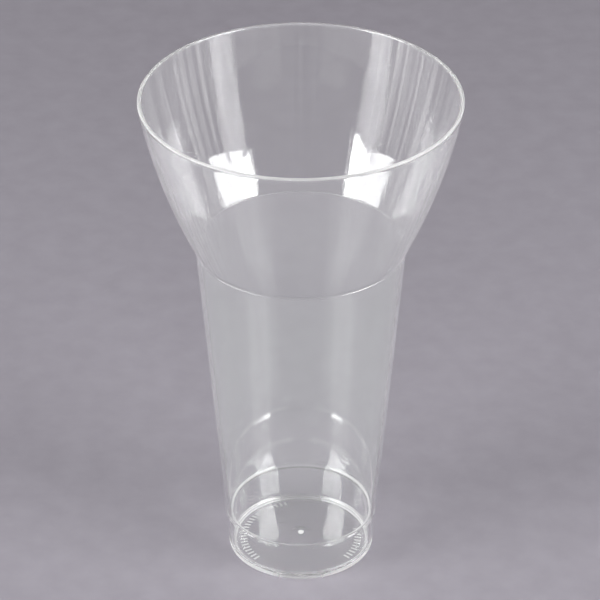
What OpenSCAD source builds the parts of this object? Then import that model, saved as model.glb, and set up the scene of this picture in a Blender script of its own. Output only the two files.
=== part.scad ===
// Clear plastic tumbler: a tapered stem on a stepped foot, opening into a bell-shaped bowl.
// One moulded piece of even wall. The origin is the centre of the resting ring, and +Z is the cup's axis.

/* [Overall] */
// Diameter over the rim, mm
rim_diameter = 92; // [88:1:98]
// Height from the table to the top of the rim, mm
cup_height = 151.5; // [146:0.5:158]
// Wall thickness of the stem and the bowl, mm
wall = 1.15; // [0.9:0.05:1.3]

/* [Bowl] */
// Outer diameter where the stem turns into the bowl, mm
shoulder_diameter = 60.8; // [57:0.2:64]
// Height of that turn, mm
shoulder_height = 103.6; // [98:0.2:108]
// Radius of the bowl's long side curve, mm
bowl_curve = 181; // [150:1:230]
// Radius that softens the turn on the outside, mm
shoulder_round = 3; // [1.5:0.5:6]

/* [Stem] */
// Outer diameter at the foot end of the stem, mm
stem_diameter = 45.2; // [44.6:0.1:46]
// Height of the outer step, where the stem stands out over the foot, mm
step_height = 11.8; // [10:0.1:14]

/* [Foot] */
// Width of the outer step, by which the stem stands out over the foot, mm
step_width = 1; // [0.9:0.1:1.6]
// Draft of the foot's wall, degrees
foot_draft = 0.3; // [0:0.1:0.6]
// Thickness of the foot's wall, mm
foot_wall = 1.15; // [1:0.05:1.3]
// Slope of the step's underside against the level, degrees
step_slope = 38; // [30:1:50]
// Height of the inner ledge above the outer step, mm
ledge_rise = 1.15; // [1:0.05:1.6]
// Slope of the inner ledge against the level, degrees
ledge_slope = 20; // [0:1:30]
// Radius of the small rounds at the step and the ledge, mm
step_round = 0.3; // [0.2:0.05:0.35]

/* [Floor] */
// Thickness of the floor, mm
floor_thickness = 1.05; // [0.9:0.05:1.6]
// Height of the floor's underside over the table, where it meets the resting ring, mm
floor_lift = 0.15; // [0.1:0.05:0.5]
// Rise of the crowned floor from there to the middle, mm
floor_crown = 1.25; // [0.8:0.05:1.8]
// Width of the ring that the cup rests on, mm
ring_width = 1.5; // [1.2:0.1:2.2]
// Radius of the round at the foot's outer edge, mm
foot_round = 0.45; // [0.3:0.05:0.7]
// Radius of the round between the wall and the floor on the inside, mm
floor_round = 1.1; // [0.6:0.1:2]
// Diameter of the dished mark of the moulding gate under the floor, mm
gate_diameter = 7; // [5:0.5:9]
// Depth of that mark, mm
gate_depth = 0.3; // [0.2:0.05:0.4]
// Diameter of the stub that the gate leaves in the mark, mm
stub_diameter = 1.6; // [1:0.1:2]
// Length of that stub, mm
stub_length = 0.18; // [0.1:0.02:0.18]

/* [Hidden] */
$fn = 96;
clear_plastic = [0.86, 0.88, 0.90, 0.45];
// Steps of each small round, the bowl's long curve, the gate's dish, the floor and half the rim's round
round_steps = 6;
bowl_steps = 28;
gate_steps = 5;
floor_steps = 10;
rim_steps = 6;

rim_radius = rim_diameter / 2;
shoulder_radius = shoulder_diameter / 2;
stem_radius = stem_diameter / 2;
foot_radius = stem_radius - step_width;
ring_inner = foot_radius - foot_round - ring_width;
stub_radius = stub_diameter / 2;
ledge_height = step_height + ledge_rise;

// Points of an arc about c from angle a0 to a1, in degrees.
function arc(c, r, a0, a1, n) = [for (i = [0:n]) let (a = a0 + (a1 - a0) * i / n) c + r * [cos(a), sin(a)]];
// Unit vector from p to q, and its normal on the right-hand side.
function unit(p, q) = (q - p) / norm(q - p);
function right_of(u) = [u[1], -u[0]];
function angle_of(v) = atan2(v[1], v[0]);
// Points of the arc that rounds the corner q of the path p, q, s with radius r.
function corner(p, q, s, r, n) =
    let (
        a = unit(q, p),
        b = unit(q, s),
        half = acos(a * b) / 2,
        c = q + unit([0, 0], a + b) * r / sin(half),
        t0 = angle_of(q + a * r / tan(half) - c),
        t1 = angle_of(q + b * r / tan(half) - c),
        turn = t1 - t0,
        short = turn > 180 ? turn - 360 : turn < -180 ? turn + 360 : turn
    )
    arc(c, r, t0, t0 + short, n);
// Where the line through p along u crosses the circle of radius r about c.
// Side -1 gives the first crossing, and side 1 the last.
function crossing(p, u, c, r, side) =
    let (d = p - c, k = d * u)
    p + u * (-k + side * sqrt(k * k - d * d + r * r));

// The stem's outer line, and the centre of the rim's half round.
stem_foot = [stem_radius, step_height];
shoulder = [shoulder_radius, shoulder_height];
stem_up = unit(stem_foot, shoulder);
stem_out = right_of(stem_up);
rim_centre = [rim_radius - wall / 2, cup_height - wall / 2];

// The bowl's outer circle runs through the shoulder, and passes the rim's centre half a wall further out.
chord = norm(rim_centre - shoulder);
bowl_up = unit(shoulder, rim_centre);
middle_curve = bowl_curve - wall / 2;
chord_part = (bowl_curve * bowl_curve - middle_curve * middle_curve + chord * chord) / (2 * chord);
bowl_depth = sqrt(bowl_curve * bowl_curve - chord_part * chord_part);
bowl_centre = shoulder + bowl_up * chord_part - right_of(bowl_up) * bowl_depth;

// The round at the shoulder touches the stem's line and the bowl's circle from outside.
shoulder_centre = crossing(
    stem_foot + stem_out * shoulder_round, stem_up, bowl_centre, bowl_curve + shoulder_round, -1);
stem_end_angle = angle_of(-stem_out);
bowl_start_angle = angle_of(bowl_centre - shoulder_centre);
bowl_first = angle_of(shoulder_centre - bowl_centre);
bowl_last = angle_of(rim_centre - bowl_centre);
rim_widest = max(bowl_last, 0);

// Foot: the outer line goes up to the step's underside, then out to the stem.
foot_low = [foot_radius, 0];
foot_top_radius = foot_radius + step_height * tan(foot_draft);
step_under = [foot_top_radius, step_height - (stem_radius - foot_top_radius) * tan(step_slope)];

// The same step on the inside: the ledge that carries the next cup of a stack.
stem_inner = [stem_radius, step_height] - stem_out * wall;
ledge_outer = stem_inner + stem_up * (ledge_height - stem_inner[1]) / stem_up[1];
foot_up = [sin(foot_draft), cos(foot_draft)];
foot_in = -right_of(foot_up);
foot_inner_low = [foot_radius - foot_wall, 0];
ledge_inner_radius = foot_inner_low[0] + ledge_height * tan(foot_draft);
ledge_inner = [ledge_inner_radius, ledge_height - (ledge_outer[0] - ledge_inner_radius) * tan(ledge_slope)];

// Floor: two spheres about one centre, so that the floor is equally thick all over.
// A small round joins its top to the wall.
lift_point = [ring_inner - floor_lift, floor_lift];
crown_radius = (lift_point[0] * lift_point[0] + floor_crown * floor_crown) / (2 * floor_crown);
crown_centre = [0, floor_lift + floor_crown - crown_radius];
floor_top_curve = crown_radius + floor_thickness;
floor_round_centre = crossing(
    foot_inner_low + foot_in * floor_round, foot_up, crown_centre, floor_top_curve + floor_round, 1);

// Mark of the gate: a shallow dish in the underside, with the gate's stub in it.
gate_radius = gate_diameter / 2;
gate_edge = [gate_radius, crown_centre[1] + sqrt(crown_radius * crown_radius - gate_radius * gate_radius)];
dish_radius = (gate_radius * gate_radius + gate_depth * gate_depth) / (2 * gate_depth);
dish_top = gate_edge[1] + gate_depth;
dish_centre = [0, dish_top - dish_radius];
stub_angle = acos(stub_radius / dish_radius);
dish_last = angle_of(gate_edge - dish_centre);
crown_first = angle_of(gate_edge - crown_centre);
crown_last = angle_of(lift_point - crown_centre);
floor_round_last = angle_of(crown_centre - floor_round_centre);
floor_first = angle_of(floor_round_centre - crown_centre);

outer = concat(
    [[0, dish_top - stub_length], [stub_radius, dish_top - stub_length]],
    arc(dish_centre, dish_radius, stub_angle, dish_last, gate_steps),
    arc(crown_centre, crown_radius, crown_first, crown_last, floor_steps),
    [[ring_inner, 0]],
    corner([0, 0], foot_low, step_under, foot_round, round_steps),
    corner(foot_low, step_under, stem_foot, step_round, round_steps),
    corner(step_under, stem_foot, shoulder, step_round, round_steps),
    arc(shoulder_centre, shoulder_round, stem_end_angle, bowl_start_angle, round_steps),
    arc(bowl_centre, bowl_curve, bowl_first, bowl_last, bowl_steps),
    arc(rim_centre, wall / 2, bowl_last, rim_widest, 1),
    arc(rim_centre, wall / 2, rim_widest, 90, rim_steps),
    arc(rim_centre, wall / 2, 90, bowl_last + 180, rim_steps)
);
inner = concat(
    arc(bowl_centre, bowl_curve - wall, bowl_last, bowl_first, bowl_steps),
    arc(shoulder_centre, shoulder_round + wall, bowl_start_angle, stem_end_angle, round_steps),
    corner(shoulder - stem_out * wall, ledge_outer, ledge_inner, step_round, round_steps),
    corner(ledge_outer, ledge_inner, foot_inner_low, step_round, round_steps),
    arc(floor_round_centre, floor_round, angle_of(-foot_in), floor_round_last, round_steps),
    arc(crown_centre, floor_top_curve, floor_first, 90, floor_steps)
);

module cup() {
    color(clear_plastic)
        rotate_extrude()
            polygon(concat(outer, inner));
}

cup();
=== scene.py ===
# %% [markdown]
# # A clear plastic tumbler
# The real cup is injection moulded in one piece from crystal polystyrene. A wall of about 1.15 mm runs from a
# stepped foot up a stem that widens a little, and on into a bell-shaped bowl with a plain rim.
# A clear thing has next to no colour of its own. All that we see is what its two surfaces mirror and bend, so
# the work lies in an exact wall, in a smooth mesh, and in lamps that give that wall something to mirror.
# The packed CAD model comes first. It fixes the size and the place of everything below, in metres.

# %% Load the frame
import math

import bmesh
import bpy
from mathutils import Matrix, Vector


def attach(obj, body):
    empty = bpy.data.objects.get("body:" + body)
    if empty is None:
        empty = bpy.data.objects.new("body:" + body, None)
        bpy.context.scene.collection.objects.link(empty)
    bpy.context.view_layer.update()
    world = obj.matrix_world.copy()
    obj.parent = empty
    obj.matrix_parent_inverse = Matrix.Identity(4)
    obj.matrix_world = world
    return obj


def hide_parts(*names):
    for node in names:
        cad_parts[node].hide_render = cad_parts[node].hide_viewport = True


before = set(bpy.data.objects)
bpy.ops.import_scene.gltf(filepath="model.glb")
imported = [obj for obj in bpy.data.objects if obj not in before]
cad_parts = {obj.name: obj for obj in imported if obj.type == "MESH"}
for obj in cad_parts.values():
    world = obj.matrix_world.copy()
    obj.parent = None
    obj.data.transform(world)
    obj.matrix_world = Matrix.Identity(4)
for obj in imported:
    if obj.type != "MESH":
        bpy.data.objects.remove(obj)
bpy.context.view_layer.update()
scene = bpy.context.scene

# %% [markdown]
# ## The camera
# The photo was taken from well above the rim with a long lens, so the rim is a wide ellipse and the stem's
# sides stay nearly straight. A camera could be placed by eye, but a clear wall mirrors the lamps by exact
# angles. So the place and the focal length come from the rim's ellipse, the foot's ellipse and the stem's
# outlines. A tiny shift puts the cup's axis where the picture has it, a little right of the middle.

# %% Camera
PICTURE_SIDE = 600
FOCAL_PIXELS = 3554.8
SENSOR_MM = 36
CAMERA_PLACE = (0, -0.8764, 0.6304)
CAMERA_TILT = 31.914
AXIS_PIXEL = 300.85
NEAREST_SEEN = 0.01

lens = bpy.data.cameras.new("camera")
lens.sensor_width = SENSOR_MM
lens.lens = FOCAL_PIXELS / PICTURE_SIDE * SENSOR_MM
lens.shift_x = (PICTURE_SIDE / 2 - AXIS_PIXEL) / PICTURE_SIDE
lens.clip_start = NEAREST_SEEN
camera = bpy.data.objects.new("camera", lens)
camera.location = CAMERA_PLACE
camera.rotation_euler = (math.radians(90 - CAMERA_TILT), 0, 0)
scene.collection.objects.link(camera)
scene.camera = camera
print("lens", round(lens.lens, 1), "mm, shifted by", round(lens.shift_x, 5), "of the picture's width")

# %% [markdown]
# ## Directions in the wall's section
# The mould for such a cup is turned on a lathe, so the cup is one section that goes round. The section could be
# a curve with a Screw modifier. Here it is drawn with circles and straight lines, because a mould is drawn that
# way, and because a clear wall shows every kink as a broken highlight.
# The section lies in the X-Z plane, in millimetres. A point on it is a Vector of (distance from the axis,
# height), and these small helpers turn directions.


# %% Directions
def unit(vector):
    return vector.normalized()


def right_of(u):
    """The direction a quarter turn to the right of u: outwards, for a wall that runs up."""
    return Vector((u.y, -u.x))


def angle_of(vector):
    return math.atan2(vector.y, vector.x)


def turn_between(start, end):
    """Signed angle from one direction to another, the short way round."""
    return (angle_of(end) - angle_of(start) + math.pi) % (2 * math.pi) - math.pi


print("right of up is", tuple(right_of(Vector((0, 1)))))

# %% [markdown]
# ## A pen for the wall's line
# One vertex is the pen. `extrude_vert_indiv` draws a straight stretch, and `spin` about a point draws an arc,
# so the operators make the points and the script only says where each stretch ends.
# Long stretches get a very short piece next to each corner. Smooth shading then turns only within the corner,
# and the straight wall between two corners stays straight in its reflections.

# %% Pen
MM = 0.001
LONGEST_PIECE = 2.25
CORNER_PIECE = 0.08
ROUND_STEPS = 8


class Pen:
    """Draws the wall's line. Its tip is the last point drawn."""

    def __init__(self, r, z):
        self.mesh = bmesh.new()
        self.tip = bmesh.ops.create_vert(self.mesh, co=(r * MM, 0, z * MM))["vert"][0]

    def at(self):
        return Vector((self.tip.co.x, self.tip.co.z)) / MM

    def to(self, point):
        made = bmesh.ops.extrude_vert_indiv(self.mesh, verts=[self.tip])["verts"]
        x, z = point[0] * MM, point[1] * MM
        bmesh.ops.translate(self.mesh, verts=made, vec=Vector((x, 0, z)) - made[0].co)
        self.tip = made[0]

    def line(self, end):
        """A straight stretch, with one short piece at each end and even pieces between."""
        start, end = self.at(), Vector(end)
        length = (end - start).length
        along = unit(end - start)
        if length > 4 * CORNER_PIECE:
            self.to(start + along * CORNER_PIECE)
            inner = length - 2 * CORNER_PIECE
            pieces = math.ceil(inner / LONGEST_PIECE)
            for i in range(1, pieces + 1):
                self.to(start + along * (CORNER_PIECE + inner * i / pieces))
        self.to(end)

    def arc(self, centre, end, steps):
        """An arc about centre, from the pen's place to the direction of end."""
        turn = turn_between(self.at() - centre, Vector(end) - centre)
        made = bmesh.ops.spin(
            self.mesh, geom=[self.tip], cent=(centre[0] * MM, 0, centre[1] * MM), axis=(0, -1, 0),
            angle=turn, steps=steps, use_duplicate=False)["geom_last"]
        self.tip = made[0]

    def corner(self, point, after, radius):
        """A line towards point that turns towards after on an arc of this radius."""
        point, after = Vector(point), Vector(after)
        back, on = unit(self.at() - point), unit(after - point)
        half = math.acos(back.dot(on)) / 2
        centre = point + unit(back + on) * (radius / math.sin(half))
        reach = radius / math.tan(half)
        self.line(point + back * reach)
        self.arc(centre, point + on * reach, ROUND_STEPS)


print("pieces of at most", LONGEST_PIECE, "mm, and of", CORNER_PIECE, "mm next to a corner")

# %% [markdown]
# ## Stem, shoulder and bowl
# The stem's outside is a straight line from above the step to the shoulder. The bowl is one long arc from
# there to the rim, and a small round joins the two.
# That round has to touch both of them, or its edge would show as a line of light. Its centre is where the line
# and the big circle, each moved out by the round's radius, cross. `crossing` finds such a place.

# %% Stem, shoulder and bowl
RIM_RADIUS = 46
CUP_HEIGHT = 151.5
WALL = 1.15
STEM_FOOT = Vector((22.6, 11.8))
SHOULDER = Vector((30.4, 103.6))
SHOULDER_ROUND = 3
BOWL_CURVE = 181


def crossing(point, u, centre, radius, side):
    """Where the line through point along u meets a circle: its first (-1) or its second (1) crossing."""
    d = point - centre
    k = d.dot(u)
    return point + u * (-k + side * math.sqrt(k * k - d.dot(d) + radius * radius))


stem_up = unit(SHOULDER - STEM_FOOT)
stem_out = right_of(stem_up)
rim_centre = Vector((RIM_RADIUS - WALL / 2, CUP_HEIGHT - WALL / 2))
chord = (rim_centre - SHOULDER).length
bowl_up = unit(rim_centre - SHOULDER)
middle_curve = BOWL_CURVE - WALL / 2
chord_part = (BOWL_CURVE**2 - middle_curve**2 + chord**2) / (2 * chord)
bowl_depth = math.sqrt(BOWL_CURVE**2 - chord_part**2)
bowl_centre = SHOULDER + bowl_up * chord_part - right_of(bowl_up) * bowl_depth
shoulder_centre = crossing(
    STEM_FOOT + stem_out * SHOULDER_ROUND, stem_up, bowl_centre, BOWL_CURVE + SHOULDER_ROUND, -1)
print("bowl's curve about", [round(v, 2) for v in bowl_centre])

# %% [markdown]
# ## The line at the shoulder
# Two parts of the mould meet at the shoulder, and the plastic creeps a little way into that joint. On the real
# cup the joint is a hair-thin bright line all the way round.
# A bright line in the material would stay bright from every side. A real ridge, about 0.06 mm high, catches
# the lamps only where it should. It is a small arc whose centre lies just under the shoulder's surface.

# %% Witness line
WITNESS_HALF = 0.11
WITNESS_SUNK = 0.07


def turned(u, along):
    """The direction u, turned so that its end moves this many mm along the shoulder's round."""
    angle = along / SHOULDER_ROUND
    return u * math.cos(angle) - right_of(u) * math.sin(angle)


shoulder_middle = unit(unit(bowl_centre - shoulder_centre) - stem_out)
witness_low = shoulder_centre + turned(shoulder_middle, -WITNESS_HALF) * SHOULDER_ROUND
witness_high = shoulder_centre + turned(shoulder_middle, WITNESS_HALF) * SHOULDER_ROUND
witness_centre = shoulder_centre + shoulder_middle * (SHOULDER_ROUND + WITNESS_SUNK)
ridge = (witness_high - witness_centre).length - WITNESS_SUNK
print("the ridge stands", round(ridge, 3), "mm proud")

# %% [markdown]
# ## Foot, step and ledge
# The foot is a short wall, nearly upright, set in under an outer step. Inside, a ledge lies at the same height.
# When cups are stacked, the step of one rests on the ledge of the next, so that they don't jam.
# Step and ledge are worked out together from the stem's line, because the wall is equally thick through both.

# %% Foot, step and ledge
FOOT_RADIUS = 21.6
FOOT_WALL = 1.15
FOOT_DRAFT = math.radians(0.3)
STEP_SLOPE = math.radians(38)
LEDGE_HEIGHT = 12.95
LEDGE_SLOPE = math.radians(20)

step_out = FOOT_RADIUS + STEM_FOOT.y * math.tan(FOOT_DRAFT)
step_under = Vector((step_out, STEM_FOOT.y - (STEM_FOOT.x - step_out) * math.tan(STEP_SLOPE)))
stem_inner = STEM_FOOT - stem_out * WALL
ledge_outer = stem_inner + stem_up * (LEDGE_HEIGHT - stem_inner.y) / stem_up.y
foot_up = Vector((math.sin(FOOT_DRAFT), math.cos(FOOT_DRAFT)))
foot_inner_low = Vector((FOOT_RADIUS - FOOT_WALL, 0))
ledge_in = foot_inner_low.x + LEDGE_HEIGHT * math.tan(FOOT_DRAFT)
ledge_inner = Vector((ledge_in, LEDGE_HEIGHT - (ledge_outer.x - ledge_in) * math.tan(LEDGE_SLOPE)))
print("ledge", round(ledge_outer.x - ledge_inner.x, 2), "mm wide")

# %% [markdown]
# ## Floor and gate
# The floor is crowned upwards, so the cup stands on a narrow ring and doesn't rock. In the middle of its
# underside is the mark of the gate, where the plastic entered the mould: a shallow dish with the stub of the
# runner in it.
# A flat floor would be simpler, but it would mirror the lamps as one plain patch. The crown bends them into the
# short white bars that the photo shows. All these curves are arcs of circles, from a width and a height each.

# %% Floor and gate
RING_WIDTH = 1.5
FOOT_ROUND = 0.45
FLOOR_THICKNESS = 1.05
FLOOR_LIFT = 0.15
FLOOR_CROWN = 1.25
FLOOR_ROUND = 1.1
GATE_RADIUS = 3.5
GATE_DEPTH = 0.3
STUB_RADIUS = 0.8
STUB_LENGTH = 0.18

ring_inner = FOOT_RADIUS - FOOT_ROUND - RING_WIDTH
lift_point = Vector((ring_inner - FLOOR_LIFT, FLOOR_LIFT))
crown_radius = (lift_point.x**2 + FLOOR_CROWN**2) / (2 * FLOOR_CROWN)
crown_centre = Vector((0, FLOOR_LIFT + FLOOR_CROWN - crown_radius))
floor_top_radius = crown_radius + FLOOR_THICKNESS
floor_round_centre = crossing(
    foot_inner_low - right_of(foot_up) * FLOOR_ROUND, foot_up, crown_centre,
    floor_top_radius + FLOOR_ROUND, 1)
gate_edge = Vector((GATE_RADIUS, crown_centre.y + math.sqrt(crown_radius**2 - GATE_RADIUS**2)))
dish_radius = (GATE_RADIUS**2 + GATE_DEPTH**2) / (2 * GATE_DEPTH)
dish_centre = Vector((0, gate_edge.y + GATE_DEPTH - dish_radius))
stub_top = Vector((STUB_RADIUS, dish_centre.y + math.sqrt(dish_radius**2 - STUB_RADIUS**2)))
stub_low = dish_centre.y + dish_radius - STUB_LENGTH
print("crown's radius", round(crown_radius, 1), "mm, stub ends at", round(stub_low, 2), "mm")

# %% [markdown]
# ## The wall's line
# The line starts on the axis, under the floor, and goes up the outside: gate, crowned underside, resting ring,
# foot, step, stem, shoulder, bowl. Half a circle makes the rim. The inside runs back down past the ledge, and
# ends on the axis again, on the floor's upper side. So one line has both faces of the wall, and the wall has
# its true thickness everywhere.

# %% Outside of the wall
STEP_ROUND = 0.3
CROWN_STEPS = 24
SHOULDER_STEPS = 4
BOWL_STEPS = 40

pen = Pen(0, stub_low)
pen.line((STUB_RADIUS, stub_low))
pen.line(stub_top)
pen.arc(dish_centre, gate_edge, ROUND_STEPS)
pen.arc(crown_centre, lift_point, CROWN_STEPS)
pen.line((ring_inner, 0))
pen.corner((FOOT_RADIUS, 0), step_under, FOOT_ROUND)
pen.corner(step_under, STEM_FOOT, STEP_ROUND)
pen.corner(STEM_FOOT, SHOULDER, STEP_ROUND)
pen.line(shoulder_centre - stem_out * SHOULDER_ROUND)
pen.arc(shoulder_centre, witness_low, SHOULDER_STEPS)
pen.arc(witness_centre, witness_high, ROUND_STEPS)
pen.arc(shoulder_centre, bowl_centre, SHOULDER_STEPS)
pen.arc(bowl_centre, rim_centre, BOWL_STEPS)
print("outside:", len(pen.mesh.verts), "points, up to", round(pen.at().y, 2), "mm")

# %% Rim and inside of the wall
INNER_ROUND_STEPS = 10

pen.arc(rim_centre, rim_centre + Vector((0, 1)), ROUND_STEPS)
pen.arc(rim_centre, rim_centre - unit(rim_centre - bowl_centre), ROUND_STEPS)
pen.arc(bowl_centre, shoulder_centre, BOWL_STEPS)
pen.arc(shoulder_centre, shoulder_centre - stem_out, INNER_ROUND_STEPS)
pen.corner(ledge_outer, ledge_inner, STEP_ROUND)
pen.corner(ledge_inner, foot_inner_low, STEP_ROUND)
pen.line(floor_round_centre + right_of(foot_up) * FLOOR_ROUND)
pen.arc(floor_round_centre, crown_centre, INNER_ROUND_STEPS)
pen.arc(crown_centre, crown_centre + Vector((0, 1)), CROWN_STEPS)
print("whole line:", len(pen.mesh.verts), "points, floor at", round(pen.at().y, 2), "mm")

# %% [markdown]
# ## One turn makes the cup
# A full spin about Z sweeps the line into the shell. `use_merge` joins the last copy to the first, and
# `remove_doubles` merges the points on the axis into one pole each.
# The normals are recalculated after the merging, because a clear wall whose faces point inwards would bend the
# light the wrong way. No modifier is left on the cup.

# %% Spin
TURN_STEPS = 288
SAME_POINT = 1e-7

shell = pen.mesh
bmesh.ops.spin(
    shell, geom=shell.verts[:] + shell.edges[:], cent=(0, 0, 0), axis=(0, 0, 1), angle=2 * math.pi,
    steps=TURN_STEPS, use_merge=True, use_duplicate=False)
bmesh.ops.remove_doubles(shell, verts=shell.verts[:], dist=SAME_POINT)
bmesh.ops.recalc_face_normals(shell, faces=shell.faces[:])
for face in shell.faces:
    face.smooth = True
print("spun:", len(shell.faces), "faces")

# %% [markdown]
# ## Marks under the floor
# The underside of such a cup isn't bare: fine relief, cut into the mould's floor, sparkles a little through the
# clear plastic. Here it is two arcs of plain short bars, a tenth of a millimetre high.
# They could be a bump in the material, but then the exported mesh wouldn't have them. So the faces of the
# underside that lie in a bar are extruded as a region and moved down. Their tops get the value 1 in a face
# attribute called matt, which the material reads further on.

# %% Faces in the marks
MARKS_REACH = (16.0, 18.2)
MARKS_ARCS = ((50, 105), (195, 315))
BAR_TURN = 2.5
UNDERSIDE_TOP = 1.4
FACES_DOWN = -0.9


def in_marks(face):
    """Whether a face of the underside lies in one of the bars."""
    middle = face.calc_center_median()
    reach = math.hypot(middle.x, middle.y) / MM
    under = face.normal.z <= FACES_DOWN and middle.z <= UNDERSIDE_TOP * MM
    if not under or not MARKS_REACH[0] < reach < MARKS_REACH[1]:
        return False
    around = math.degrees(math.atan2(middle.x, -middle.y)) % 360
    in_arc = any(start < around < end for start, end in MARKS_ARCS)
    return in_arc and around % (2 * BAR_TURN) < BAR_TURN


matt = shell.faces.layers.float.new("matt")
marks = [face for face in shell.faces if in_marks(face)]
print("marks:", len(marks), "faces to raise")

# %% Raise the marks
MARKS_HEIGHT = 0.10
SHARP = math.radians(40)

raised = bmesh.ops.extrude_face_region(shell, geom=marks)["geom"]
bmesh.ops.delete(shell, geom=marks, context="FACES")
tips = [part for part in raised if isinstance(part, bmesh.types.BMVert)]
tops = [part for part in raised if isinstance(part, bmesh.types.BMFace)]
bmesh.ops.translate(shell, vec=(0, 0, -MARKS_HEIGHT * MM), verts=tips)
for face in tops:
    face[matt] = 1
    for edge in face.edges:
        if edge.calc_face_angle(0) > SHARP:
            edge.smooth = False
            for side in edge.link_faces:
                if side not in tops:
                    side.smooth = False
                    for low_edge in side.edges:
                        low_edge.smooth = False
print("marks:", len(tops), "raised faces")

# %% [markdown]
# ## Is the shell closed?
# A clear material needs a shell without a hole: a ray that goes in has to come out through another face. Each
# edge must have two faces, and a closed shell has a volume, which should be that of the CAD's solid, 34.8 cm3.

# %% Measure the shell
CM3_IN_M3 = 1e6

open_edges = [edge for edge in shell.edges if len(edge.link_faces) != 2]
volume = shell.calc_volume(signed=True) * CM3_IN_M3
print("shell:", len(shell.faces), "faces,", len(open_edges), "open edges,", round(volume, 2), "cm3")

# %% [markdown]
# ## Short words for nodes
# Materials are made of nodes. Each one could be added and linked by hand, at four lines a node. This small
# class has one word for each kind of step instead, so that a cell below reads like the recipe it is.
# Every pattern is placed by Object coordinates. The cup's object sits at the origin, so they are metres from
# the middle of its foot, and the pattern stays on the plastic when the camera moves.


# %% Words for nodes
class Recipe:
    """The nodes of one material."""

    def __init__(self, name):
        self.material = bpy.data.materials.new(name)
        self.material.use_nodes = True
        self.nodes = self.material.node_tree.nodes
        self.links = self.material.node_tree.links
        self.shader = self.nodes["Principled BSDF"]

    def give(self, socket, value):
        """Fill a socket with another node's output, or with a plain number or colour."""
        if isinstance(value, bpy.types.NodeSocket):
            self.links.new(value, socket)
        else:
            socket.default_value = value

    def node(self, kind, values=(), **settings):
        """A new node; values fill its sockets, in their order or by name."""
        node = self.nodes.new("ShaderNode" + kind)
        for name, setting in settings.items():
            setattr(node, name, setting)
        pairs = values.items() if isinstance(values, dict) else enumerate(values)
        for socket, value in pairs:
            self.give(node.inputs[socket], value)
        return node

    def math(self, operation, *values):
        """One step of arithmetic."""
        return self.node("Math", values, operation=operation).outputs[0]

    def vector(self, operation, *values):
        """One step of arithmetic with directions and places."""
        made = self.node("VectorMath", values, operation=operation)
        return made.outputs["Value" if operation == "LENGTH" else "Vector"]

    def change(self, value, span, low, high):
        """A smooth change from low to high while value crosses the span."""
        start, end = span
        numbers = {"Value": value, "From Min": start, "From Max": end, "To Min": low, "To Max": high}
        return self.node("MapRange", numbers, interpolation_type="SMOOTHSTEP").outputs["Result"]

    def between(self, value, low, high):
        """low where value is 0, high where it is 1, and on along the same slope past both."""
        numbers = {"Value": value, "To Min": low, "To Max": high}
        return self.node("MapRange", numbers, clamp=False).outputs["Result"]

    def colours(self, value, low, high):
        """A colour ramp with two stops, each a place from 0 to 1 and a colour."""
        ramp = self.node("ValToRGB", {"Fac": value})
        for element, (place, colour) in zip(ramp.color_ramp.elements, (low, high)):
            element.position, element.color = place, colour
        return ramp.outputs["Color"]

    def find_place(self):
        """Where a point lies: x, y, z, the distance to either side, and the distance from the axis."""
        self.spot = self.node("TexCoord").outputs["Object"]
        self.x, self.y, self.z = self.node("SeparateXYZ", (self.spot,)).outputs
        self.aside = self.math("ABSOLUTE", self.x)
        self.flat = self.vector("MULTIPLY", self.spot, (1, 1, 0))
        self.radius = self.vector("LENGTH", self.flat)


print("words:", [word for word in vars(Recipe) if not word.startswith("_")])

# %% [markdown]
# ## Clear moulded plastic
# Crystal polystyrene is as clear as glass and bends light a little more, with an IOR of 1.59. A Glass shader
# could do it. The Principled shader is used because its Transmission Weight also lets a part of the light
# scatter, which is what haze and worn edges are. Its roughness stays 0, for the polish of the steel mould,
# apart from the places that the next cells make matt.

# %% Clear plastic
PLASTIC_IOR = 1.59

plastic = Recipe("clear_plastic")
plastic.find_place()
plastic.shader.inputs["IOR"].default_value = PLASTIC_IOR
plastic.shader.inputs["Roughness"].default_value = 0
print(plastic.material.name, "starts with", len(plastic.nodes), "nodes")

# %% [markdown]
# ## A trace of colour
# Seen through the stem, the paper is a touch greener than through the bowl. Absorption in the volume would be
# the physical way, but it slows the render. A colour ramp by height does nearly the same: a trace of green in
# the stem, and next to none in the bowl and the foot.

# %% Tint
CLEAR_TINT = (0.992, 0.996, 0.992, 1)
STEM_TINT = (0.980, 1.0, 0.982, 1)
TINT_LOW = (0.018, 0.040)
TINT_HIGH = (0.085, 0.115)

in_stem = plastic.math(
    "MULTIPLY", plastic.change(plastic.z, TINT_LOW, 0, 1), plastic.change(plastic.z, TINT_HIGH, 1, 0))
tint = plastic.colours(in_stem, (0, CLEAR_TINT), (1, STEM_TINT))
plastic.give(plastic.shader.inputs["Base Color"], tint)
print("tint from", CLEAR_TINT[:3], "to", STEM_TINT[:3])

# %% [markdown]
# ## Streaks of haze
# The plastic flows up the walls as it fills the mould, and cools in fine upright streaks. On the real cup they
# show as pale lines in the bowl, most of all towards its sides and its back.
# They are a noise that is stretched: its coordinate goes once round the rim in many small steps, and up the
# wall in a few. Because that coordinate is made from the direction round the axis, the streaks follow the
# wall and don't lie across it.

# %% Streaks
STREAKS = {"wide": 0.0013, "tall": 0.130, "detail": 4}
STREAK_SPAN = (0.38, 0.76)
STREAK_HAZE = 0.175


def stretched_noise(recipe, wide, tall, detail):
    """Noise in upright streaks, this wide round the rim and this tall, in metres."""
    around = recipe.vector("NORMALIZE", recipe.flat)
    turns = RIM_RADIUS * MM / wide
    across = recipe.vector("MULTIPLY", around, (turns, turns, 0))
    up = recipe.vector("MULTIPLY", recipe.spot, (0, 0, 1 / tall))
    numbers = {"Vector": recipe.vector("ADD", across, up), "Scale": 1, "Detail": detail}
    return recipe.node("TexNoise", numbers).outputs["Fac"]


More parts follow.
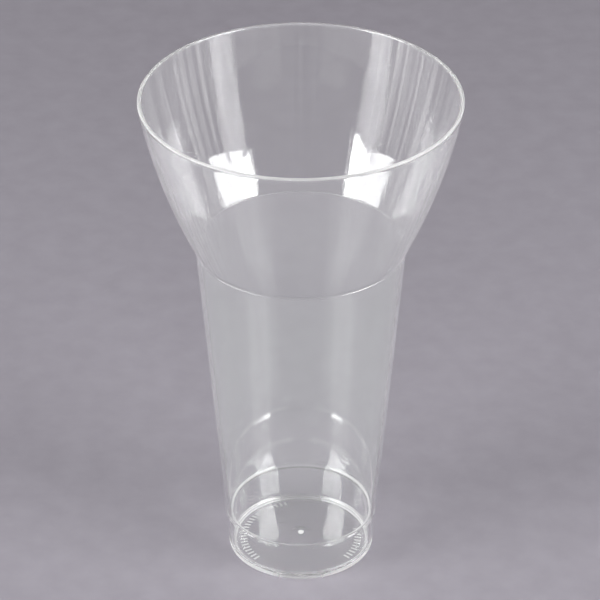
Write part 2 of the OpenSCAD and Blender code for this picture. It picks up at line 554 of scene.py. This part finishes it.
streaks = plastic.change(stretched_noise(plastic, **STREAKS), STREAK_SPAN, 0, STREAK_HAZE)
print("about", round(2 * math.pi * RIM_RADIUS * MM / STREAKS["wide"]), "streaks round the rim")

# %% Where the streaks show
BOWL_FROM = (0.098, 0.112)
UP_THE_BOWL = (BOWL_FROM, 0.12, 1)
ASIDE_FROM = ((0.016, 0.030), 0.12, 1)
ASIDE_FADE = ((0.033, 0.043), 1, 0.45)
TO_THE_BACK = ((-0.010, 0.015), 0.6, 1)

shown = plastic.math(
    "MULTIPLY", plastic.change(plastic.aside, *ASIDE_FROM), plastic.change(plastic.aside, *ASIDE_FADE))
shown = plastic.math("MULTIPLY", shown, plastic.change(plastic.y, *TO_THE_BACK))
shown = plastic.math("MULTIPLY", plastic.change(plastic.z, *UP_THE_BOWL), shown)
streaks = plastic.math("MULTIPLY", streaks, shown)
print("streaks rise from", BOWL_FROM[0], "m up")

# %% [markdown]
# ## Worn and matt edges
# Use and stacking rub the polish off wherever the cup touches something: the rim, the resting ring, the
# outside of the foot and the ledge. The stub of the gate is torn off and rough, and the marks are matt. Such
# edges show as thin pale lines, and they are what lets the eye find a clear thing at all.
# Each edge could be a material of its own. One number is simpler: it rises from 0 where height and distance
# from the axis say so, and it raises haze and roughness together. The frost values say how matt each edge is
# next to the others. No cup is worn evenly: ring and ledge are more matt to the left and right, the rim in front.
# A value such as RING_HEIGHT holds the span over which the number changes, in metres, and then its two ends.

# %% Foot and ring
RING_HEIGHT = ((0.0014, 0.0005), 0, 1)
RING_REACH = ((0.0190, 0.0196), 0, 1)
FOOT_HEIGHT = ((0.0026, 0.0010), 0, 1)
FOOT_REACH = ((0.0209, 0.0213), 0, 1)
RING_SIDES = ((0.003, 0.011), 0.35, 1)
RING_FROST = 1.5


def band(height, reach):
    """1 in a band of the cup, from its height and from its distance from the axis."""
    return plastic.math(
        "MULTIPLY", plastic.change(plastic.z, *height), plastic.change(plastic.radius, *reach))


ring = plastic.math("MAXIMUM", band(RING_HEIGHT, RING_REACH), band(FOOT_HEIGHT, FOOT_REACH))
ring = plastic.math("MULTIPLY", ring, plastic.change(plastic.aside, *RING_SIDES))
worn = plastic.math("MULTIPLY", ring, RING_FROST)
print("ring matt from", RING_REACH[0][0], "m out")

# %% Ledge
LEDGE_RISE = ((0.0122, 0.0125), 0, 1)
LEDGE_FALL = ((0.0127, 0.0129), 1, 0)
LEDGE_REACH = ((0.0213, 0.0216), 1, 0)
LEDGE_SIDES = ((0.006, 0.014), 0.2, 1)
LEDGE_FROST = 1.9

ledge = plastic.math(
    "MULTIPLY", plastic.change(plastic.z, *LEDGE_RISE), plastic.change(plastic.z, *LEDGE_FALL))
ledge = plastic.math("MULTIPLY", ledge, plastic.change(plastic.radius, *LEDGE_REACH))
ledge = plastic.math("MULTIPLY", ledge, plastic.change(plastic.aside, *LEDGE_SIDES))
worn = plastic.math("MAXIMUM", worn, plastic.math("MULTIPLY", ledge, LEDGE_FROST))
print("ledge matt between", LEDGE_RISE[0][0], "and", LEDGE_FALL[0][1], "m")

# %% Gate and marks
GATE_HEIGHT = ((0.0040, 0.0030), 0, 1)
GATE_REACH = ((0.0007, 0.0010), 1, 0)
GATE_FROST = 3.0
MARKS_FROST = 1.4

gate = plastic.math("MULTIPLY", band(GATE_HEIGHT, GATE_REACH), GATE_FROST)
on_marks = plastic.node("Attribute", attribute_name="matt").outputs["Fac"]
worn = plastic.math("MAXIMUM", worn, gate)
worn = plastic.math("MAXIMUM", worn, plastic.math("MULTIPLY", on_marks, MARKS_FROST))
print("gate matt up to", GATE_REACH[0][1], "m from the axis")

# %% Rim, haze and roughness
RIM_HEIGHT = ((0.1506, 0.1513), 0, 1)
RIM_FRONT = ((-0.030, 0.040), 1.6, 0.6)
HAZE = 0.022
EDGE_HAZE = 0.20
EDGE_ROUGHNESS = 0.30

rim = plastic.math(
    "MULTIPLY", plastic.change(plastic.z, *RIM_HEIGHT), plastic.change(plastic.y, *RIM_FRONT))
worn = plastic.math("MAXIMUM", rim, worn)
clear = plastic.math("SUBTRACT", plastic.between(worn, 1 - HAZE, 1 - EDGE_HAZE), streaks)
plastic.give(plastic.shader.inputs["Transmission Weight"], clear)
plastic.give(plastic.shader.inputs["Roughness"], plastic.between(worn, 0, EDGE_ROUGHNESS))
print("clear to", 1 - HAZE, "of the light, and", round(1 - EDGE_HAZE, 2), "at a worn edge")

# %% [markdown]
# ## Walls that aren't quite true
# The plastic shrinks as it cools, by a few hundredths of a millimetre more here than there. So the lamps'
# images in the bowl have soft, wavy edges with fine lines in them, and don't look cut out with scissors.
# Moving the mesh would need millions of faces. Two bumps do it, and their depths are true to scale: broad waves
# in stem and bowl, then fine lines in the bowl alone. Both stop short of the rim and the foot, which are stiff.

# %% Uneven walls
RIM_CALM = (0.138, 0.149)
STEM_RISE = (0.014, 0.026)
STEM_WAVES = 0.25
WAVES = {"wide": 0.0080, "tall": 0.110, "detail": 1}
WAVES_DEPTH = 0.000024
LINES = {"wide": 0.0016, "tall": 0.060, "detail": 3}
LINES_DEPTH = 0.000034

below_rim = plastic.change(plastic.z, RIM_CALM, 1, 0)
above_foot = plastic.change(plastic.z, STEM_RISE, 0, 1)
in_walls = plastic.math(
    "MULTIPLY", plastic.change(plastic.z, BOWL_FROM, STEM_WAVES, 1),
    plastic.math("MULTIPLY", above_foot, below_rim))
in_bowl = plastic.math("MULTIPLY", plastic.change(plastic.z, BOWL_FROM, 0, 1), below_rim)
waves = plastic.node("Bump", {
    "Strength": in_walls, "Distance": WAVES_DEPTH, "Height": stretched_noise(plastic, **WAVES)})
lines = plastic.node("Bump", {
    "Strength": in_bowl, "Distance": LINES_DEPTH, "Height": stretched_noise(plastic, **LINES),
    "Normal": waves.outputs["Normal"]})
plastic.give(plastic.shader.inputs["Normal"], lines.outputs["Normal"])
print("waves of", WAVES_DEPTH / MM, "mm, lines of", LINES_DEPTH / MM, "mm")

# %% [markdown]
# ## The shadow of a clear thing
# Light that passes through the walls is gathered into bright specks on the floor, and Cycles needs very many
# samples for them. The photo's shadow is a soft, even grey. So for shadow rays alone the plastic is a plain
# grey filter, and for all other rays it is the plastic of the cells above.

# %% Shadow filter
SHADE = 0.64

path = plastic.node("LightPath").outputs
grey_filter = plastic.node("BsdfTransparent", {"Color": (SHADE, SHADE, SHADE, 1)}).outputs[0]
surface = plastic.node("MixShader", (path["Is Shadow Ray"], plastic.shader.outputs[0], grey_filter))
plastic.give(plastic.nodes["Material Output"].inputs["Surface"], surface.outputs[0])
print(plastic.material.name, "has", len(plastic.nodes), "nodes")

# %% [markdown]
# ## The cup
# The shell becomes an object at the origin, unturned and unscaled, with its place in its mesh. It rides on the
# model's one body and takes the place of the CAD's plain cup, which is hidden. Its finish is the clear plastic.


# %% Cup
def add_piece(name, mesh, material):
    """An object from a finished bmesh."""
    data = bpy.data.meshes.new(name)
    mesh.to_mesh(data)
    mesh.free()
    data.materials.append(material)
    piece = bpy.data.objects.new(name, data)
    scene.collection.objects.link(piece)
    return piece


cup = add_piece("tumbler", shell, plastic.material)
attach(cup, "root")
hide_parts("cup")
print(cup.name, len(cup.data.polygons), "faces")

# %% [markdown]
# ## Paper under the cup
# The cup stands on a plain grey sweep of paper. It fills the whole picture and shows through the walls, so its
# grey, a touch violet, is half of the cup's own look. An image could be laid on it, but a fine noise between
# two greys is enough for the faint cloudiness of matt paper.

# %% Paper
PAPER_DARK = (0.297, 0.281, 0.313, 1)
PAPER_LIGHT = (0.323, 0.306, 0.341, 1)
CLOUD_SPAN = (0.3, 0.7)
CLOUD_SCALE = 120
CLOUD_DETAIL = 5
PAPER_ROUGHNESS = 0.5
PAPER_SPECULAR = 0.3

paper = Recipe("paper")
paper.find_place()
paper.shader.inputs["Roughness"].default_value = PAPER_ROUGHNESS
paper.shader.inputs["Specular IOR Level"].default_value = PAPER_SPECULAR
cloud = paper.node("TexNoise", {"Vector": paper.spot, "Scale": CLOUD_SCALE, "Detail": CLOUD_DETAIL})
grey = paper.colours(cloud.outputs["Fac"], (CLOUD_SPAN[0], PAPER_DARK), (CLOUD_SPAN[1], PAPER_LIGHT))
paper.give(paper.shader.inputs["Base Color"], grey)
print("paper from", PAPER_DARK[:3], "to", PAPER_LIGHT[:3])

# %% [markdown]
# ## The paper's painted sheen in the walls
# At a grazing angle real paper shines, and the stem mirrors it at just such angles: pale upright bands towards
# the two lamps. A glossier paper would show the lamps to the camera as well, which the photo doesn't.
# So the sheen is painted: the paper gives off a little light of its own, but only to rays that the cup has
# mirrored and that nothing has scattered. Light Path counts both: a depth above a half is one bounce or more,
# and below a half it is none.
# The angle round the cup makes the two bands, and behind the cup the sheen is weaker.

# %% Painted sheen in the walls
SHEEN = 0.20
PAINTED_SHEEN_COLOUR = (1.0, 0.98, 1.0, 1)
SHEEN_BANDS = 0.30
BAND_RISE = (0.50, 0.68)
BAND_FALL = (0.92, 1.12)
SHEEN_BEHIND = ((1.5, 2.7), SHEEN, 0.35 * SHEEN)
SHEEN_FROM = ((0.035, 0.090), 0, 1)
HALF_BOUNCE = 0.5

around = paper.math("ARCTAN2", paper.aside, paper.math("MULTIPLY", paper.y, -1))
bands = paper.math(
    "MULTIPLY", paper.change(around, BAND_RISE, 0, SHEEN_BANDS), paper.change(around, BAND_FALL, 1, 0))
painted_sheen = paper.math("ADD", bands, paper.change(around, *SHEEN_BEHIND))
painted_sheen = paper.math("MULTIPLY", painted_sheen, paper.change(paper.radius, *SHEEN_FROM))
path = paper.node("LightPath").outputs
mirrored = paper.math("GREATER_THAN", path["Glossy Depth"], HALF_BOUNCE)
unscattered = paper.math("LESS_THAN", path["Diffuse Depth"], HALF_BOUNCE)
painted_sheen = paper.math("MULTIPLY", painted_sheen, paper.math("MULTIPLY", mirrored, unscattered))
# Painted sheen: light given off by the paper in place of its glossy reflection of the lamps.
paper.shader.inputs["Emission Color"].default_value = PAINTED_SHEEN_COLOUR
paper.give(paper.shader.inputs["Emission Strength"], painted_sheen)
paper.material.cycles.emission_sampling = "NONE"
print("bands", [round(math.degrees(edge)) for edge in BAND_RISE + BAND_FALL], "degrees from the front")

# %% [markdown]
# ## No hard horizon
# Real studio paper curves up behind the object, so no line parts floor and wall. A curved backdrop would get in
# the way of the lamps from some sides. The paper is flat instead, and far from the cup it turns into the room's
# own grey, for rays that come straight from the camera or through the walls.

# %% Far fade
FAR_FADE = ((0.8, 2.2), 0, 1)
ROOM_COLOUR = (0.28, 0.27, 0.29, 1)

seen = paper.math("MAXIMUM", path["Is Camera Ray"], path["Is Transmission Ray"])
not_mirrored = paper.math("LESS_THAN", path["Glossy Depth"], HALF_BOUNCE)
seen = paper.math("MULTIPLY", seen, not_mirrored)
far = paper.math("MULTIPLY", paper.change(paper.radius, *FAR_FADE), seen)
room_grey = paper.node("Emission", {"Color": ROOM_COLOUR}).outputs[0]
surface = paper.node("MixShader", (far, paper.shader.outputs[0], room_grey))
paper.give(paper.nodes["Material Output"].inputs["Surface"], surface.outputs[0])
print("paper fades between", *FAR_FADE[0], "m from the cup")

# %% [markdown]
# ## The floor's sheet
# One flat face is enough for the paper. It lies a hair below the resting ring, because two faces in exactly the
# same place would fight over which of them a ray meets first. It is part of the stage, not of the cup.

# %% Floor
FLOOR_HALF = 2.5
FLOOR_GAP = 0.00003

ground = bmesh.new()
bmesh.ops.create_grid(ground, x_segments=1, y_segments=1, size=FLOOR_HALF)
bmesh.ops.translate(ground, vec=(0, 0, -FLOOR_GAP), verts=ground.verts)
floor = add_piece("floor", ground, paper.material)
print(floor.name, 2 * FLOOR_HALF, "m wide,", FLOOR_GAP / MM, "mm under the cup")

# %% [markdown]
# ## Two softboxes
# A product photo of a clear thing is lit from both sides, and the walls mirror the lamps as upright bright
# patches. Where those patches lie in the picture says where the lamps stood: left and right of the camera, a
# little above the rim and up to high over it. Two area lamps stand there. A direction is given as it looks
# from the cup: an azimuth from the camera's side towards +X, and an elevation above the table.

# %% Softboxes
AIM = Vector((0, 0, 0.08))
LAMP_DISTANCE = 1.2
LAMP_TURN = 63
LAMP_WIDTH = 0.67
LAMP_TOP = 46.5
LAMP_RADIANCE = 9


def direction(azimuth, elevation):
    a, e = math.radians(azimuth), math.radians(elevation)
    return Vector((math.sin(a) * math.cos(e), -math.cos(a) * math.cos(e), math.sin(e)))


def softbox(name, azimuth, elevation, width, height, radiance):
    """A rectangular lamp that looks at the cup."""
    lamp = bpy.data.lights.new(name, "AREA")
    lamp.shape = "RECTANGLE"
    lamp.size, lamp.size_y = width, height
    lamp.energy = radiance * width * height * math.pi
    thing = bpy.data.objects.new(name, lamp)
    away = direction(azimuth, elevation)
    thing.location = AIM + away * LAMP_DISTANCE
    thing.rotation_euler = away.to_track_quat("Z", "Y").to_euler()
    scene.collection.objects.link(thing)


print("lamps", LAMP_DISTANCE, "m away,", LAMP_TURN, "degrees to either side")

# %% [markdown]
# ## Panels for the mirror images
# The real lamps have bright middles, edges, stands and white cards beside them, and the bowl mirrors all of
# that. As lamps they would light the floor too, and wash out its grey.
# So these are panels that only the cup receives: light linking gives them the cup alone. They cast no shadow,
# the camera doesn't see them, and their light ends at the first scattering, so it adds no haze either.

# %% Glowing panel
UNIT_HALF = 0.5

clear_things = bpy.data.collections.new("clear_things")
clear_things.objects.link(cup)


def glow(name, radiance):
    """Light for mirrors and clear walls alone."""
    recipe = Recipe(name)
    recipe.nodes.remove(recipe.shader)
    bounces = recipe.node("LightPath").outputs["Diffuse Depth"]
    strength = recipe.math("MULTIPLY", recipe.math("LESS_THAN", bounces, HALF_BOUNCE), radiance)
    emission = recipe.node("Emission", {"Strength": strength}).outputs[0]
    recipe.give(recipe.nodes["Material Output"].inputs["Surface"], emission)
    recipe.material.cycles.emission_sampling = "NONE"
    return recipe.material


def glint(name, azimuth, elevation, distance, width, height, radiance, roll=0):
    """A panel that shows only as a mirror image in the cup."""
    away = direction(azimuth, elevation)
    panel = bmesh.new()
    bmesh.ops.create_grid(panel, x_segments=1, y_segments=1, size=UNIT_HALF)
    bmesh.ops.scale(panel, vec=(width, height, 1), verts=panel.verts)
    tilt = Matrix.Rotation(math.radians(roll), 3, "Z")
    bmesh.ops.rotate(panel, cent=(0, 0, 0), matrix=tilt, verts=panel.verts)
    facing = away.to_track_quat("Z", "Y").to_matrix()
    bmesh.ops.rotate(panel, cent=(0, 0, 0), matrix=facing, verts=panel.verts)
    bmesh.ops.translate(panel, vec=AIM + away * distance, verts=panel.verts)
    screen = add_piece(name, panel, glow(name, radiance))
    screen.visible_shadow = False
    screen.visible_camera = False
    screen.light_linking.receiver_collection = clear_things


# %% [markdown]
# ## Both sides
# The bowl's far wall is a hollow mirror, so it swaps the sides: the left lamp makes the patch on the right.
# That patch is the taller one in the photo, so the left softbox reaches a little lower than the right one.
# The glint is the lamp's bright face. The wing adds the lower outer part of the patch, and the back panel the
# faint rectangle in the far wall. Five slats of a white card, close to the cup, give the upright stripes above
# the patch. Each has its azimuth and elevation, its width and height in metres, and its brightness.

# %% Both sides
SIDES = (("right", 1, 13), ("left", -1, 10.2))
GLINT = {"distance": LAMP_DISTANCE * 1.003, "width": LAMP_WIDTH, "radiance": 11}
WING_PLACE, WING_ROLL = (73.5, 12.8), -13
WING = {"distance": LAMP_DISTANCE * 1.02, "width": 0.80, "height": 0.22, "radiance": 9}
BACK_PLACE = (130, 24)
BACK = {"distance": LAMP_DISTANCE, "width": 0.75, "height": 0.5, "radiance": 3}
CARD_DISTANCE = 0.66
CARD_HEIGHT = 0.22
CARD_ELEVATION, CARD_ROLL = 3, 18
CARD_SLATS = ((49.6, 51.2, 0.4), (53.2, 56.0, 1.2), (58.8, 61.8, 1.6), (64.6, 67.8, 1.6), (71, 73.5, 1.2))

for side, turn, low in SIDES:
    middle = (low + LAMP_TOP) / 2
    tall = 2 * LAMP_DISTANCE * math.tan(math.radians(LAMP_TOP - low) / 2)
    softbox("softbox_" + side, turn * LAMP_TURN, middle, LAMP_WIDTH, tall, LAMP_RADIANCE)
    glint("glint_" + side, turn * LAMP_TURN, middle, height=tall, **GLINT)
    glint("wing_" + side, turn * WING_PLACE[0], WING_PLACE[1], roll=WING_ROLL * turn, **WING)
    glint("back_" + side, turn * BACK_PLACE[0], BACK_PLACE[1], **BACK)
    for i, (start, end, radiance) in enumerate(CARD_SLATS):
        width = CARD_DISTANCE * math.radians(end - start)
        glint(f"card_{side}_{i}", turn * (start + end) / 2, CARD_ELEVATION, CARD_DISTANCE,
              width, CARD_HEIGHT, radiance, roll=CARD_ROLL * turn)
    print(side, "lamp", round(tall, 3), "m tall")

# %% [markdown]
# ## The room
# Light from all round fills the shadows and gives the clear walls a plain grey to show. It is one colour, the
# same that the far paper fades to. A sky or a picture of a room would put its own images into the walls.

# %% Room
room = bpy.data.worlds.new("room")
room.use_nodes = True
background = room.node_tree.nodes["Background"]
background.inputs["Color"].default_value = ROOM_COLOUR
background.inputs["Strength"].default_value = 1
scene.world = room
print("room", ROOM_COLOUR[:3])

# %% [markdown]
# ## Last settings
# The Standard view shows each colour as it is written. A ray through the cup meets many walls, so it may bounce
# forty times. With a low limit, the foot would turn dark where the rays end too soon.

# %% Finish
MOST_BOUNCES = 40

scene.view_settings.view_transform = "Standard"
scene.cycles.max_bounces = MOST_BOUNCES
scene.cycles.glossy_bounces = MOST_BOUNCES
scene.cycles.transmission_bounces = MOST_BOUNCES
